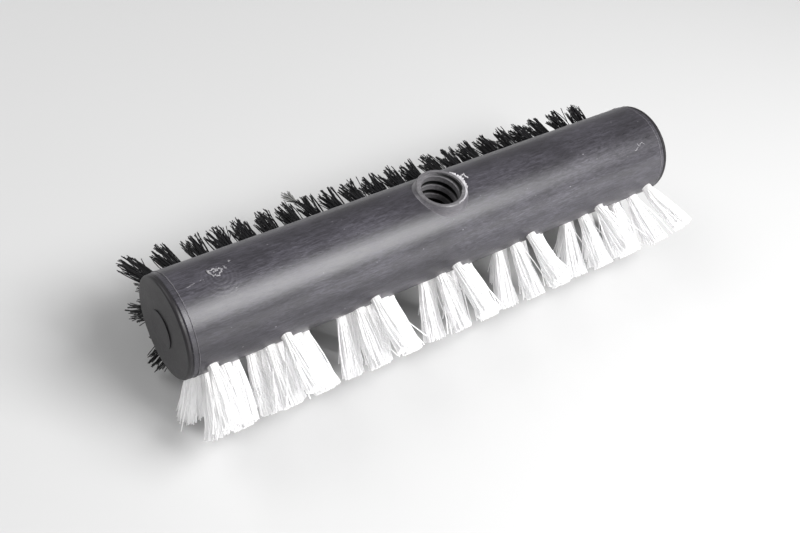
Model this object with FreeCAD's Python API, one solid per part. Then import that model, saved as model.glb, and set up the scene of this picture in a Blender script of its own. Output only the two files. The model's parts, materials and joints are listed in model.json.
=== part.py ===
import FreeCAD, Part
import math
import os

# Double-sided tube scrub head, millimetres.
# X runs along the tube, +Z is the axis of the handle socket, the white tufts face -Y and the black ones +Y.
# The origin is the point where the socket's axis crosses the tube's axis.

# ---- driving dimensions ----
# Tube
TUBE_RADIUS = 21.0
TUBE_LENGTH = 242.4
WALL = 8.5
BAND_LENGTH = 2.3
BAND_STEP = 0.15
TUBE_END_CHAMFER = 0.35

# End caps
CAP_SET_BACK = 0.25
CAP_RIM = 2.0
CAP_SHOULDER = 1.0
CAP_CROWN = 0.7
CAP_EDGE_CHAMFER = 0.3
BOSS_RADIUS = 7.8
BOSS_HEIGHT = 0.35
SPIGOT_LENGTH = 12.0
SPIGOT_WALL = 2.0
SPIGOT_LEAD = 0.8
SPIGOT_CLEARANCE = 0.05

# Handle socket
SOCKET_WALL = 1.0
SOCKET_PROUD = 1.6
SOCKET_SKIRT = 0.4
SOCKET_OFFSET_X = 0.5
SOCKET_OFFSET_Y = 0.5
SOCKET_BELOW_AXIS = 5.0
SOCKET_FLOOR = 2.5
SOCKET_CLEARANCE = 0.05
THREAD_CREST_RADIUS = 8.25
THREAD_DEPTH = 1.45
THREAD_PITCH = 5.08
THREAD_CREST_WIDTH = 2.4
THREAD_ROOT_WIDTH = 2.0
THREAD_RUNOUT = 4.0
MOUTH_CHAMFER = 0.5

# Tuft holes and anchors
HOLE_RADIUS = 2.25
HOLE_DEPTH = 6.5
TUFT_CLEARANCE = 0.1
TUFT_COLLAR = 0.8
ANCHOR_LENGTH = 5.2
ANCHOR_HEIGHT = 1.6
ANCHOR_THICKNESS = 0.4
ANCHOR_LIFT = 1.0

# Rows: angles round the tube, measured from the socket's axis
FIRST_ROW_ANGLE = 100.0
ROW_ANGLE_STEP = 15.5
ROW_COUNT = 5

# White side: clusters, each a diamond of tufts, with a cut-off diamond at each end
WHITE_TRIM = 24.7
WHITE_TIP_RADIUS = 4.3
WHITE_CLUSTER_PITCH = 41.2
WHITE_CLUSTER_END_GAP = 30.0
WHITE_END_MARGIN = 7.8
WHITE_TUFT_STEP = 5.9
WHITE_LEAN = 1.6
WHITE_END_LEAN = 4.0

# Black side: evenly pitched, with every second row shifted by half a pitch
BLACK_TRIM = 20.0
BLACK_TIP_RADIUS = 4.0
BLACK_PITCH = 10.8
BLACK_END_MARGIN = 7.0
BLACK_END_LEAN = 6.0
BLACK_END_TUFTS = 2

# Small allowances used by the cuts
OVERSHOOT = 1.0

# ---- derived dimensions ----
BORE_RADIUS = TUBE_RADIUS - WALL
TUBE_END = TUBE_LENGTH / 2.0
SOCKET_TOP = TUBE_RADIUS + SOCKET_PROUD
THREAD_ROOT_RADIUS = THREAD_CREST_RADIUS + THREAD_DEPTH
SOCKET_RADIUS = THREAD_ROOT_RADIUS + SOCKET_WALL
THREAD_MOUTH_WIDTH = THREAD_PITCH - THREAD_CREST_WIDTH
TUFT_RADIUS = HOLE_RADIUS - TUFT_CLEARANCE
# The offsets along X of the tufts of a cluster, row by row, in steps
CLUSTER_ROWS = ((0,), (-1, 1), (-2, 0, 2), (-1, 1), (0,))
CLUSTER_REACH = 2 * WHITE_TUFT_STEP
WHITE_END_X = TUBE_END - WHITE_END_MARGIN
WHITE_SIDE_CLUSTERS = int((WHITE_END_X - WHITE_CLUSTER_END_GAP) / WHITE_CLUSTER_PITCH)
# Beyond this a tuft has an end cluster beside it, so it stands straight
WHITE_CROWDED_X = WHITE_END_X - CLUSTER_REACH - 2 * WHITE_TIP_RADIUS
BLACK_LONG_ROW_COUNT = int((TUBE_LENGTH - 2 * BLACK_END_MARGIN) / BLACK_PITCH) + 1

X_AXIS = FreeCAD.Vector(1, 0, 0)
Z_AXIS = FreeCAD.Vector(0, 0, 1)
ORIGIN = FreeCAD.Vector(0, 0, 0)


def revolve_profile(points, axis):
    """Turn a closed outline a full turn about an axis through the origin."""
    face = Part.Face(Part.makePolygon([*points, points[0]]))
    return face.revolve(ORIGIN, axis, 360)


def radial_placement(x, angle):
    """A placement that carries +Z onto the tube's radius at this angle from the socket's axis."""
    return FreeCAD.Placement(FreeCAD.Vector(x, 0, 0), FreeCAD.Rotation(X_AXIS, -angle))


def placed(shape, placement):
    """A copy of the shape at a placement."""
    copy = shape.copy()
    copy.Placement = placement
    return copy


# ---- where the tufts stand ----
def row_angle(row, side):
    """The angle of a row, from 0 up to ROW_COUNT - 1; side is -1 for white and +1 for black."""
    return side * (FIRST_ROW_ANGLE + row * ROW_ANGLE_STEP)


def white_row(row):
    """The (x, lean) of each white tuft in a row; lean is the shift of its tip along X."""
    tufts = []
    for step in CLUSTER_ROWS[row]:
        offset = step * WHITE_TUFT_STEP
        for cluster in range(-WHITE_SIDE_CLUSTERS, WHITE_SIDE_CLUSTERS + 1):
            x = cluster * WHITE_CLUSTER_PITCH + offset
            tufts.append((x, 0.0 if abs(x) > WHITE_CROWDED_X else step * WHITE_LEAN))
        for side in (-1, 1):
            if side * step <= 0:
                nearness = 1.0 - abs(offset) / (2 * CLUSTER_REACH)
                tufts.append((side * WHITE_END_X + offset, side * nearness * WHITE_END_LEAN))
    return sorted(tufts)


def black_row(row):
    """The (x, lean) of each black tuft in a row; only the tufts near the two ends lean outwards."""
    count = BLACK_LONG_ROW_COUNT - row % 2
    tufts = []
    for index in range(count):
        x = (index - (count - 1) / 2.0) * BLACK_PITCH
        from_end = min(index, count - 1 - index)
        share = max(0.0, 1.0 - from_end / BLACK_END_TUFTS)
        tufts.append((x, math.copysign(share * BLACK_END_LEAN, x)))
    return tufts


# ---- tufts and anchors, made standing on the tube's radius along +Z ----
def anchor_wire():
    """One flat wire anchor, lying across the tube at the foot of its hole."""
    foot = TUBE_RADIUS - HOLE_DEPTH + ANCHOR_LIFT
    corner = FreeCAD.Vector(-ANCHOR_THICKNESS / 2.0, -ANCHOR_LENGTH / 2.0, foot)
    return Part.makeBox(ANCHOR_THICKNESS, ANCHOR_LENGTH, ANCHOR_HEIGHT, corner)


def circle_wire(radius, x, z):
    """A level circle of this radius."""
    return Part.Wire(Part.makeCircle(radius, FreeCAD.Vector(x, 0, z), Z_AXIS))


def tuft(trim, tip_radius, lean):
    """A tuft: straight in its hole, then flaring to its trimmed tip, with the anchor's slot through its foot."""
    foot = TUBE_RADIUS - HOLE_DEPTH
    shoulder = TUBE_RADIUS + TUFT_COLLAR
    tip = TUBE_RADIUS + trim
    stem = Part.makeCylinder(TUFT_RADIUS, shoulder - foot, FreeCAD.Vector(0, 0, foot))
    flare = Part.makeLoft([circle_wire(TUFT_RADIUS, 0, shoulder), circle_wire(tip_radius, lean, tip)], True, True)
    return stem.fuse(flare).cut(anchor_wire())


def tuft_row(places, angle, trim, tip_radius):
    """All the tufts of one row."""
    models = {}
    solids = []
    for x, lean in places:
        if lean not in models:
            models[lean] = tuft(trim, tip_radius, lean)
        solids.append(placed(models[lean], radial_placement(x, angle)))
    return Part.Compound(solids)


def anchor_row(places, angle):
    """All the anchors of one row."""
    wire = anchor_wire()
    return Part.Compound([placed(wire, radial_placement(x, angle)) for x, _ in places])


def tuft_sockets(places, angle):
    """The holes of one row, each with the slot that its anchor bites into the wall."""
    foot = TUBE_RADIUS - HOLE_DEPTH
    hole = Part.makeCylinder(HOLE_RADIUS, HOLE_DEPTH + OVERSHOOT, FreeCAD.Vector(0, 0, foot))
    cutter = hole.fuse(anchor_wire())
    return [placed(cutter, radial_placement(x, angle)) for x, _ in places]


# ---- the tube ----
def tube_body(hole_cutters):
    """The tube with its bore, turned end bands, socket pocket and tuft holes."""
    band_radius = TUBE_RADIUS - BAND_STEP
    band_start = TUBE_END - BAND_LENGTH
    half = [
        (band_start, TUBE_RADIUS),
        (band_start, band_radius),
        (TUBE_END - TUBE_END_CHAMFER, band_radius),
        (TUBE_END, band_radius - TUBE_END_CHAMFER),
        (TUBE_END, BORE_RADIUS),
    ]
    right = [FreeCAD.Vector(x, 0, z) for x, z in half]
    left = [FreeCAD.Vector(-x, 0, z) for x, z in reversed(half)]
    tube = revolve_profile(right + left, X_AXIS)
    pocket_height = SOCKET_BELOW_AXIS + TUBE_RADIUS + OVERSHOOT
    pocket_foot = FreeCAD.Vector(SOCKET_OFFSET_X, SOCKET_OFFSET_Y, -SOCKET_BELOW_AXIS)
    pocket = Part.makeCylinder(SOCKET_RADIUS + SOCKET_CLEARANCE, pocket_height, pocket_foot)
    return tube.cut([pocket, *hole_cutters])


# ---- end caps ----
def end_cap(side):
    """A plug: spigot in the bore, rim against the tube's end, crowned face with a low round boss."""
    spigot_radius = BORE_RADIUS - SPIGOT_CLEARANCE
    spigot_inner = spigot_radius - SPIGOT_WALL
    rim_radius = TUBE_RADIUS - CAP_SET_BACK
    face_radius = rim_radius - CAP_SHOULDER
    rim_face = TUBE_END + CAP_RIM
    crown_face = rim_face + CAP_CROWN
    spigot_end = TUBE_END - SPIGOT_LENGTH
    outline = [
        (TUBE_END, 0),
        (TUBE_END, spigot_inner),
        (spigot_end, spigot_inner),
        (spigot_end, spigot_radius - SPIGOT_LEAD),
        (spigot_end + SPIGOT_LEAD, spigot_radius),
        (TUBE_END, spigot_radius),
        (TUBE_END, rim_radius - CAP_EDGE_CHAMFER),
        (TUBE_END + CAP_EDGE_CHAMFER, rim_radius),
        (rim_face - CAP_SHOULDER, rim_radius),
    ]
    points = [FreeCAD.Vector(x, 0, z) for x, z in outline]
    shoulder_mid = CAP_SHOULDER * math.sqrt(0.5)
    shoulder = Part.Arc(
        points[-1],
        FreeCAD.Vector(rim_face - CAP_SHOULDER + shoulder_mid, 0, face_radius + shoulder_mid),
        FreeCAD.Vector(rim_face, 0, face_radius),
    )
    # The crown is the arc through the face's edge and a centre that stands CAP_CROWN higher.
    crown = Part.Arc(
        FreeCAD.Vector(rim_face, 0, face_radius),
        FreeCAD.Vector(crown_face, 0, 0),
        FreeCAD.Vector(rim_face, 0, -face_radius),
    )
    half_crown = crown.toShape().common(
        Part.makeBox(TUBE_LENGTH, OVERSHOOT, TUBE_RADIUS, FreeCAD.Vector(0, -OVERSHOOT / 2.0, 0))
    )
    edges = Part.makePolygon(points).Edges + [shoulder.toShape()] + half_crown.Edges
    edges.append(Part.makeLine(FreeCAD.Vector(crown_face, 0, 0), points[0]))
    wire = Part.Wire(Part.__sortEdges__(edges))
    cap = Part.Face(wire).revolve(ORIGIN, X_AXIS, 360)
    boss = Part.makeCylinder(
        BOSS_RADIUS, CAP_RIM + CAP_CROWN + BOSS_HEIGHT, FreeCAD.Vector(TUBE_END, 0, 0), X_AXIS
    )
    cap = cap.fuse(boss).removeSplitter()
    if side < 0:
        cap.rotate(ORIGIN, Z_AXIS, 180)
    return cap


# ---- handle socket ----
def thread_groove():
    """The helical groove of the handle thread, from above the mouth down to its run-out."""
    start = THREAD_RUNOUT + SOCKET_FLOOR - SOCKET_BELOW_AXIS
    height = SOCKET_TOP - start + THREAD_PITCH
    helix = Part.makeHelix(THREAD_PITCH, height, THREAD_CREST_RADIUS)
    inner = THREAD_CREST_RADIUS - OVERSHOOT
    flank_growth = (THREAD_MOUTH_WIDTH - THREAD_ROOT_WIDTH) / 2.0 * OVERSHOOT / THREAD_DEPTH
    half_inner = THREAD_MOUTH_WIDTH / 2.0 + flank_growth
    half_root = THREAD_ROOT_WIDTH / 2.0
    corners = [
        FreeCAD.Vector(inner, 0, -half_inner),
        FreeCAD.Vector(THREAD_ROOT_RADIUS, 0, -half_root),
        FreeCAD.Vector(THREAD_ROOT_RADIUS, 0, half_root),
        FreeCAD.Vector(inner, 0, half_inner),
    ]
    profile = Part.makePolygon([*corners, corners[0]])
    groove = Part.Wire(helix).makePipeShell([profile], True, True)
    groove.translate(FreeCAD.Vector(0, 0, start))
    return groove


def handle_socket():
    """A blind threaded bush that stands a little proud of the tube; its hole is a little off its centre."""
    bottom = -SOCKET_BELOW_AXIS
    outside = [
        (0, bottom),
        (SOCKET_RADIUS, bottom),
        (SOCKET_RADIUS, SOCKET_TOP - SOCKET_SKIRT),
        (SOCKET_RADIUS - SOCKET_SKIRT, SOCKET_TOP),
        (0, SOCKET_TOP),
    ]
    bush = revolve_profile([FreeCAD.Vector(r, 0, z) for r, z in outside], Z_AXIS)
    bush.translate(FreeCAD.Vector(SOCKET_OFFSET_X, SOCKET_OFFSET_Y, 0))
    inside = [
        (0, bottom + SOCKET_FLOOR),
        (THREAD_CREST_RADIUS, bottom + SOCKET_FLOOR),
        (THREAD_CREST_RADIUS, SOCKET_TOP - MOUTH_CHAMFER),
        (THREAD_CREST_RADIUS + MOUTH_CHAMFER, SOCKET_TOP),
        (THREAD_CREST_RADIUS + MOUTH_CHAMFER, SOCKET_TOP + OVERSHOOT),
        (0, SOCKET_TOP + OVERSHOOT),
    ]
    hole = revolve_profile([FreeCAD.Vector(r, 0, z) for r, z in inside], Z_AXIS)
    # The groove is cut while the bush is still solid, then the hole.
    return bush.cut(thread_groove()).cut(hole)


def export(name, shape):
    """Write one sub-part to its STEP file and say what it holds."""
    shape.exportStep(f"parts/{name}.step")
    print(name, "solids", len(shape.Solids), "volume", round(shape.Volume, 1), "valid", shape.isValid())


def main():
    """Build every sub-part and write it out."""
    os.makedirs("parts", exist_ok=True)
    sides = (
        ("white", -1, white_row, WHITE_TRIM, WHITE_TIP_RADIUS),
        ("black", 1, black_row, BLACK_TRIM, BLACK_TIP_RADIUS),
    )
    cutters = []
    for colour, side, row_places, trim, tip_radius in sides:
        for row in range(ROW_COUNT):
            places = row_places(row)
            angle = row_angle(row, side)
            export(f"{colour}_tufts_row_{row + 1}", tuft_row(places, angle, trim, tip_radius))
            export(f"{colour}_anchors_row_{row + 1}", anchor_row(places, angle))
            cutters += tuft_sockets(places, angle)
    export("tube_body", tube_body(cutters))
    export("end_cap_left", end_cap(-1))
    export("end_cap_right", end_cap(1))
    export("handle_socket", handle_socket())


main()
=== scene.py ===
import json
import logging
import math
from dataclasses import dataclass, replace
from enum import Enum
from typing import Sequence

import bmesh
import bpy
import numpy as np
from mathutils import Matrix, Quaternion, Vector

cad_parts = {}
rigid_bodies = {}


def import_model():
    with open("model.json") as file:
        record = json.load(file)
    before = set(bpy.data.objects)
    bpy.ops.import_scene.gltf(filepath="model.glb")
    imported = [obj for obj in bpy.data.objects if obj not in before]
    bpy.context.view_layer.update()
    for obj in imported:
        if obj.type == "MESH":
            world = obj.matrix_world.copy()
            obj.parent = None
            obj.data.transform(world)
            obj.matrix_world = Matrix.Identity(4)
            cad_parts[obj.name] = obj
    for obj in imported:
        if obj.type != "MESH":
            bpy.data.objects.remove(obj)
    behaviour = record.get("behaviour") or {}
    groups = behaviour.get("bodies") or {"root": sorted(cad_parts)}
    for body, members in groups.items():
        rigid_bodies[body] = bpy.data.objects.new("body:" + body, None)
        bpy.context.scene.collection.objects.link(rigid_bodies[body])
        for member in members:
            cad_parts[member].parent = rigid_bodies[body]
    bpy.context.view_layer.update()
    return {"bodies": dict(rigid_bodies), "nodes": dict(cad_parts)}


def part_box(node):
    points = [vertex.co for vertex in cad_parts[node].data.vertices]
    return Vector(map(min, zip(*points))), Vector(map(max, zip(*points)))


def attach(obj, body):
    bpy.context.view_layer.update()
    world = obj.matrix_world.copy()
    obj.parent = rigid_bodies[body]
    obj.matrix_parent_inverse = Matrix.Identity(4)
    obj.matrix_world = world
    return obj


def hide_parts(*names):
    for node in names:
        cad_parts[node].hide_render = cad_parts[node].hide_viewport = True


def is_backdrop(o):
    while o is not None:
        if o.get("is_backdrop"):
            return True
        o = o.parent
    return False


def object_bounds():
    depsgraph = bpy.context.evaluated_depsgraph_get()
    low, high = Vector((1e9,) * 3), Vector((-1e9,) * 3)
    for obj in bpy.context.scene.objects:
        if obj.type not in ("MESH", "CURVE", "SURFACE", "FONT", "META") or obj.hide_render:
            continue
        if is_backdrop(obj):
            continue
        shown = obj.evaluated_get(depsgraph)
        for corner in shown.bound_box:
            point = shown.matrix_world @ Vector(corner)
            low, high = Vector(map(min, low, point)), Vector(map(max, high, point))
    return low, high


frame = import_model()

log = logging.getLogger("scrub_head")

MM = 0.001
SEED = 4711
BODY = next(iter(frame["bodies"]))
ROW_COUNT = 5
MERGE_DISTANCE = 0.001 * MM
RING_TOLERANCE = 0.01 * MM
END_MARGIN = 0.01
SPUN_TOLERANCE = 1e-4
SPUN_MERGE = 1e-5
Colour = tuple[float, float, float]
Stretch = tuple[float, float, float]
Piece = bpy.types.Object
Socket = bpy.types.NodeSocket
X_AXIS = Vector((1, 0, 0))
Z_AXIS = Vector((0, 0, 1))


class Side(Enum):
    """The two working sides of the head, by the colour of their filaments."""

    WHITE = "white"
    BLACK = "black"

    def row_node(self, row: int) -> str:
        """The CAD node that holds one row of tufts."""
        return f"{self.value}_tufts_row_{row}"


# ---------------------------------------------------------------- mesh work


def start_clean() -> None:
    """Leave edit mode and deselect everything, so that an operator acts on the new piece only."""
    if bpy.context.object and bpy.context.object.mode != "OBJECT":
        bpy.ops.object.mode_set(mode="OBJECT")
    bpy.ops.object.select_all(action="DESELECT")


def take(piece: Piece) -> None:
    """Select one piece alone and make it the active one."""
    start_clean()
    piece.select_set(True)
    bpy.context.view_layer.objects.active = piece


def settle(piece: Piece) -> Piece:
    """Apply a piece's place, turn and scale to its mesh, so that its object sits at the origin."""
    take(piece)
    bpy.ops.object.transform_apply(location=True, rotation=True, scale=True)
    return piece


def smooth(piece: Piece) -> None:
    """Shade a whole piece smooth."""
    take(piece)
    bpy.ops.object.shade_smooth()


def named(piece: Piece, name: str) -> Piece:
    """Give a piece and its mesh their name."""
    piece.name = name
    piece.data.name = name
    return piece


def rod_blank(name: str, sides: int, radius: float, spans: int, share: float, both: bool = False) -> Piece:
    """Model an upright rod of unit length, divided along its length, with a narrowed tip.

    Args:
        name: the rod's name.
        sides: how many sides it has.
        radius: its radius.
        spans: how many equal spans it is divided into.
        share: how wide the tip is, as a share of the rod.
        both: narrow the foot as well.

    Returns:
        The rod.
    """
    start_clean()
    bpy.ops.mesh.primitive_cylinder_add(vertices=sides, radius=radius, depth=1.0, location=(0, 0, 0.5))
    rod = settle(named(bpy.context.object, name))
    bpy.ops.object.mode_set(mode="EDIT")
    bpy.ops.mesh.select_mode(type="EDGE")
    bpy.ops.mesh.select_all(action="DESELECT")
    sheet = bmesh.from_edit_mesh(rod.data)
    for edge in sheet.edges:
        if abs(edge.verts[0].co.z - edge.verts[1].co.z) > 0.5:
            edge.select_set(True)
    bmesh.update_edit_mesh(rod.data)
    bpy.ops.mesh.subdivide(number_cuts=spans - 1)
    bpy.ops.mesh.select_mode(type="VERT")
    sheet = bmesh.from_edit_mesh(rod.data)
    for vert in sheet.verts:
        vert.select = vert.co.z > 1 - END_MARGIN or (both and vert.co.z < END_MARGIN)
    for part in (*sheet.edges, *sheet.faces):
        part.select = all(vert.select for vert in part.verts)
    bmesh.update_edit_mesh(rod.data)
    bpy.ops.transform.resize(value=(share, share, 1.0))
    bpy.ops.object.mode_set(mode="OBJECT")
    return rod


def write_attribute(piece: Piece, name: str, values: np.ndarray) -> None:
    """Store one number at each vertex of a piece."""
    attribute = piece.data.attributes.new(name, "FLOAT", "POINT")
    attribute.data.foreach_set("value", values.astype(np.float32))


def mesh_arrays(piece: Piece) -> tuple[np.ndarray, list[tuple[int, ...]]]:
    """The vertices of a piece as an array, and its faces as tuples of vertex numbers."""
    co = np.zeros(len(piece.data.vertices) * 3)
    piece.data.vertices.foreach_get("co", co)
    return co.reshape(-1, 3), [tuple(p.vertices) for p in piece.data.polygons]


def piece_from_arrays(name: str, verts: np.ndarray, faces: list[tuple[int, ...]]) -> Piece:
    """Make an object from arrays and put it in the scene.

    Args:
        name: the piece's name.
        verts: an array of points, in metres.
        faces: tuples of vertex numbers.

    Returns:
        The new object.
    """
    mesh = bpy.data.meshes.new(name)
    mesh.from_pydata(verts.tolist(), [], faces)
    mesh.update()
    piece = bpy.data.objects.new(name, mesh)
    bpy.context.scene.collection.objects.link(piece)
    return piece


def copies_as_one(name: str, model: Piece, placed: Sequence[np.ndarray]) -> Piece:
    """Join many moved copies of one modelled shape into a piece, and remove the model.

    Args:
        name: the new piece's name.
        model: the shape that repeats.
        placed: the vertices of each copy, in the model's own order.

    Returns:
        The new piece.
    """
    _, faces = mesh_arrays(model)
    count = len(model.data.vertices)
    all_faces = [
        tuple(vert + number * count for vert in face) for number in range(len(placed)) for face in faces
    ]
    piece = piece_from_arrays(name, np.concatenate(placed), all_faces)
    bpy.data.objects.remove(model)
    return piece


# ---------------------------------------------------------------- the frame's own sizes


@dataclass(frozen=True)
class HeadSizes:
    """The sizes of the head that the looks are placed by, read from the CAD nodes."""

    radius: float
    tube_end: float
    socket_top: float
    socket_radius: float
    socket_centre: Vector

    @classmethod
    def from_frame(cls) -> "HeadSizes":
        """Read the sizes from the boxes of the tube and the socket."""
        _, tube_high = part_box("tube_body")
        socket_low, socket_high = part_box("handle_socket")
        return cls(
            radius=tube_high.y,
            tube_end=tube_high.x,
            socket_top=socket_high.z,
            socket_radius=(socket_high.x - socket_low.x) / 2,
            socket_centre=(socket_high + socket_low) / 2 * Vector((1, 1, 0)),
        )

    def on_skin(self, x: float, across: float) -> Vector:
        """The point of the tube's skin at x, this far round from the top, measured along the skin."""
        angle = across / self.radius
        return Vector((x, self.radius * math.sin(angle), self.radius * math.cos(angle)))


@dataclass(frozen=True)
class TuftPlace:
    """Where one tuft stands: its foot on the skin, its tip's centre, and the two radii."""

    root: Vector
    outward: Vector
    tip: Vector
    root_radius: float
    tip_radius: float

    @property
    def trim(self) -> float:
        """The free length of the tuft, straight out from the skin."""
        return (self.tip - self.root).dot(self.outward)

    @property
    def lean(self) -> float:
        """How far the tip stands to the side of its foot, along the tube."""
        return self.tip.x - self.root.x


def read_tufts(node: str, skin_radius: float) -> list[TuftPlace]:
    """Find each tuft of a row from the separate shells of its CAD node.

    Args:
        node: the row's CAD node.
        skin_radius: the tube's outer radius.

    Returns:
        The places of the tufts, from left to right.
    """
    work = bmesh.new()
    work.from_mesh(frame["nodes"][node].data)
    bmesh.ops.remove_doubles(work, verts=work.verts[:], dist=MERGE_DISTANCE)
    work.verts.ensure_lookup_table()
    unseen = set(work.verts)
    places = []
    while unseen:
        shell, waiting = set(), [unseen.pop()]
        while waiting:
            vert = waiting.pop()
            shell.add(vert)
            for edge in vert.link_edges:
                other = edge.other_vert(vert)
                if other in unseen:
                    unseen.discard(other)
                    waiting.append(other)
        places.append(tuft_from_points(np.array([v.co[:] for v in shell]), skin_radius))
    work.free()
    return sorted(places, key=lambda place: place.root.x)


def tuft_from_points(points: np.ndarray, skin_radius: float) -> TuftPlace:
    """Work out one tuft's place from the points of its CAD solid."""
    middle = points.mean(axis=0)
    outward = Vector((0.0, middle[1], middle[2])).normalized()
    height = points @ np.array(outward)
    tip_ring = points[height > height.max() - RING_TOLERANCE]
    foot_ring = points[height < height.min() + RING_TOLERANCE]
    tip, foot = tip_ring.mean(axis=0), foot_ring.mean(axis=0)
    return TuftPlace(
        root=Vector((foot[0], 0.0, 0.0)) + outward * skin_radius,
        outward=outward,
        tip=Vector(tip),
        root_radius=float(np.linalg.norm(foot_ring - foot, axis=1).max()),
        tip_radius=float(np.linalg.norm(tip_ring - tip, axis=1).max()),
    )


# ---------------------------------------------------------------- finishes


class NodeSheet:
    """A material's node tree, with short methods for what the finishes share."""

    def __init__(self, name: str) -> None:
        """Start a material with its shader wired to its output."""
        self.material = bpy.data.materials.new(name)
        self.material.use_nodes = True
        self.tree = self.material.node_tree
        self.tree.nodes.clear()
        self.shader = self.add("ShaderNodeBsdfPrincipled")
        output = self.add("ShaderNodeOutputMaterial")
        self.wire(self.shader.outputs["BSDF"], output.inputs["Surface"])

    def add(self, kind: str, **settings: object) -> bpy.types.Node:
        """Add a node and set its properties."""
        node = self.tree.nodes.new(kind)
        for name, value in settings.items():
            setattr(node, name, value)
        return node

    def wire(self, start: Socket, end: Socket) -> None:
        """Join two sockets."""
        self.tree.links.new(start, end)

    def set(self, **values: object) -> None:
        """Set the shader's own sockets; an underscore in a name stands for a space."""
        for name, value in values.items():
            self.shader.inputs[name.replace("_", " ")].default_value = value

    def colour(self, value: Socket) -> None:
        """Give the shader its base colour."""
        self.wire(value, self.shader.inputs["Base Color"])

    def roughness(self, value: Socket) -> None:
        """Give the shader its roughness."""
        self.wire(value, self.shader.inputs["Roughness"])

    def place(self, stretch: Stretch) -> Socket:
        """Object coordinates, scaled along each axis."""
        coordinates = self.add("ShaderNodeTexCoord")
        scale = self.add("ShaderNodeVectorMath", operation="MULTIPLY")
        self.wire(coordinates.outputs["Object"], scale.inputs[0])
        scale.inputs[1].default_value = stretch
        return scale.outputs["Vector"]

    def noise(
        self, stretch: Stretch, detail: float, rough: float = 0.6, twist: float = 0.0
    ) -> Socket:
        """Noise from 0 to 1.

        Args:
            stretch: how many cells it has per metre along each axis.
            detail: how many finer layers are added.
            rough: how strong the finer layers are.
            twist: how far the pattern is warped.

        Returns:
            The noise's value.
        """
        noise = self.add("ShaderNodeTexNoise")
        noise.inputs["Scale"].default_value = 1.0
        noise.inputs["Detail"].default_value = detail
        noise.inputs["Roughness"].default_value = rough
        noise.inputs["Distortion"].default_value = twist
        self.wire(self.place(stretch), noise.inputs["Vector"])
        return noise.outputs["Fac"]

    def remap(self, value: Socket, low: float, high: float, to_low: float, to_high: float) -> Socket:
        """Carry a range of values onto another, clamped.

        Args:
            value: the value to carry.
            low: where the range starts.
            high: where it ends.
            to_low: what its start becomes.
            to_high: what its end becomes.

        Returns:
            The new value.
        """
        remap = self.add("ShaderNodeMapRange")
        self.wire(value, remap.inputs["Value"])
        for name, number in (("From Min", low), ("From Max", high), ("To Min", to_low), ("To Max", to_high)):
            remap.inputs[name].default_value = number
        return remap.outputs["Result"]

    def math(self, operation: str, first: object, second: object = 0.0) -> Socket:
        """Do one arithmetic step.

        Args:
            operation: the step's name.
            first: a socket or a number.
            second: a socket or a number.

        Returns:
            The result.
        """
        step = self.add("ShaderNodeMath", operation=operation)
        for socket, value in zip(step.inputs, (first, second)):
            if isinstance(value, Socket):
                self.wire(value, socket)
            else:
                socket.default_value = value
        return step.outputs["Value"]

    def blend(self, share: Socket, first: object, second: object) -> Socket:
        """Mix two colours.

        Args:
            share: how much of the second there is.
            first: a socket or a colour.
            second: a socket or a colour.

        Returns:
            The mixed colour.
        """
        mix = self.add("ShaderNodeMix", data_type="RGBA")
        self.wire(share, mix.inputs["Factor"])
        for socket, value in ((mix.inputs[6], first), (mix.inputs[7], second)):
            if isinstance(value, Socket):
                self.wire(value, socket)
            else:
                socket.default_value = (*value, 1.0)
        return mix.outputs[2]

    def bump(self, height: Socket, depth: float) -> None:
        """Let a height from 0 to 1 stand this many metres proud; calls add up."""
        bump = self.add("ShaderNodeBump")
        bump.inputs["Distance"].default_value = depth
        self.wire(height, bump.inputs["Height"])
        normal = self.shader.inputs["Normal"]
        if normal.is_linked:
            self.wire(normal.links[0].from_socket, bump.inputs["Normal"])
        self.wire(bump.outputs["Normal"], normal)

    def attribute(self, name: str) -> Socket:
        """A number that the mesh carries at its vertices."""
        return self.add("ShaderNodeAttribute", attribute_name=name).outputs["Fac"]


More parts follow.
